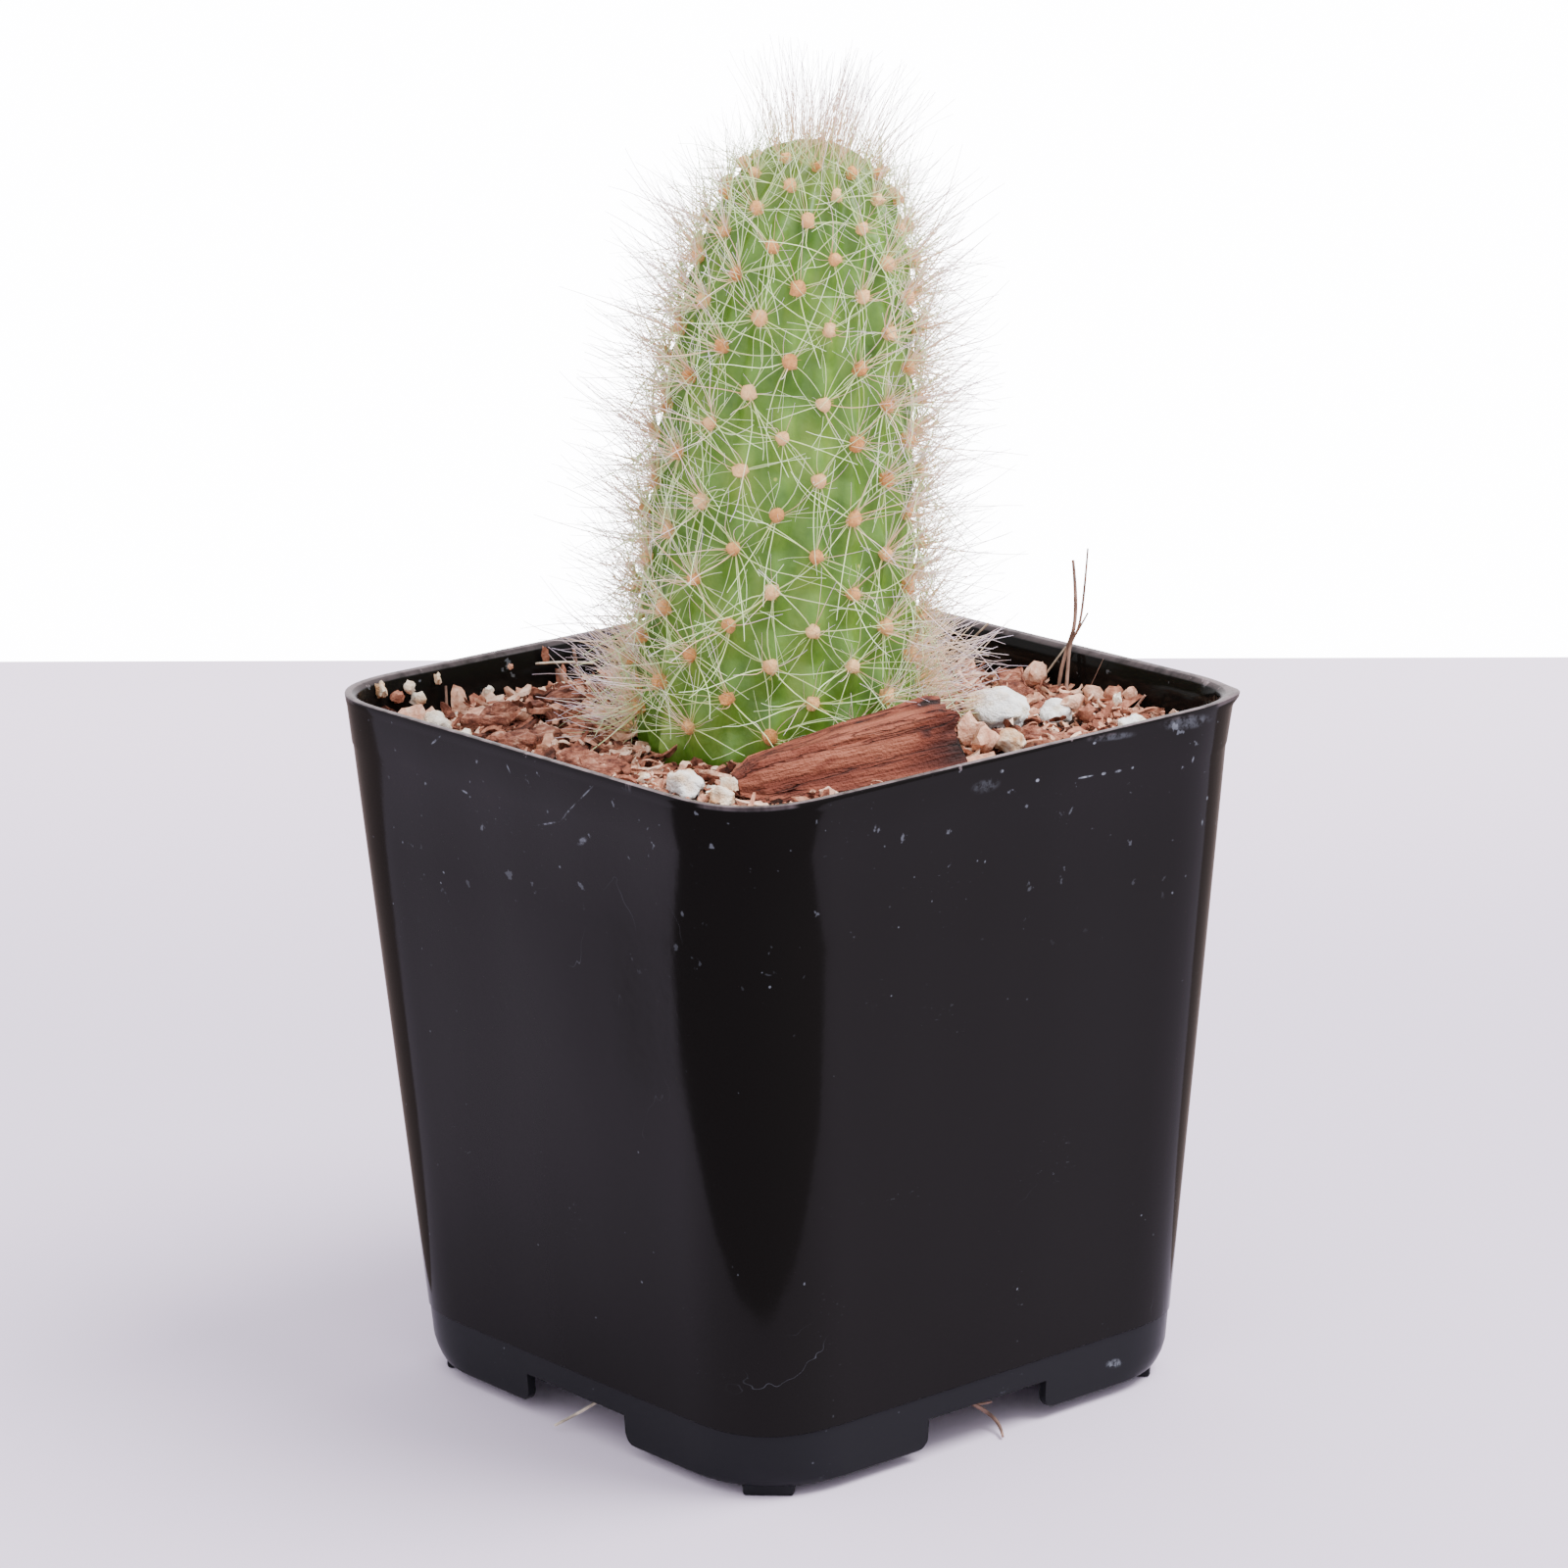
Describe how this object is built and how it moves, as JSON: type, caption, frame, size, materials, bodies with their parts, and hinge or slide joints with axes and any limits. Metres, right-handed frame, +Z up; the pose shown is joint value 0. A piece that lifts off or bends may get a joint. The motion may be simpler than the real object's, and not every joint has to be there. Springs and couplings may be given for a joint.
{
  "type": "potted cactus",
  "caption": "Young monkey tail cactus, a ribbed upright stem covered in fine bristles, in potting mix in a square nursery pot.",
  "frame": {"origin": "on the table, under the middle of the pot", "axes": "+Z up, along the pot's height; X and Y square to the pot's sides; the side view that shows the long bark chunk looks from -X -Y"},
  "size_m": [0.0566, 0.0566, 0.1124],
  "materials": {
    "black_plastic": "moulded black polypropylene, glossy, lightly scuffed",
    "potting_mix": "damp shredded coir and peat, matte",
    "cactus": "waxy green flesh under pale bristles and tan felt",
    "bark": "rough split bark, matte",
    "perlite": "popped, matte, off-white",
    "dry_plant": "dry plant fibre, matte"
  },
  "bodies": {
    "root": {"pot": "black_plastic", "potting_mix": "potting_mix", "cactus": "cactus", "bark_chunk": "bark", "bark_chip_1": "bark", "bark_chip_2": "bark", "bark_chip_3": "bark", "bark_chip_4": "bark", "bark_chip_5": "bark", "bark_chip_6": "bark", "bark_chip_7": "bark", "bark_chip_8": "bark", "perlite_1": "perlite", "perlite_2": "perlite", "perlite_3": "perlite", "perlite_4": "perlite", "perlite_5": "perlite", "perlite_6": "perlite", "perlite_7": "perlite", "perlite_8": "perlite", "perlite_9": "perlite", "perlite_10": "perlite", "dry_stalk": "dry_plant", "drain_fibre_1": "dry_plant", "drain_fibre_2": "dry_plant"}
  },
  "joints": []
}
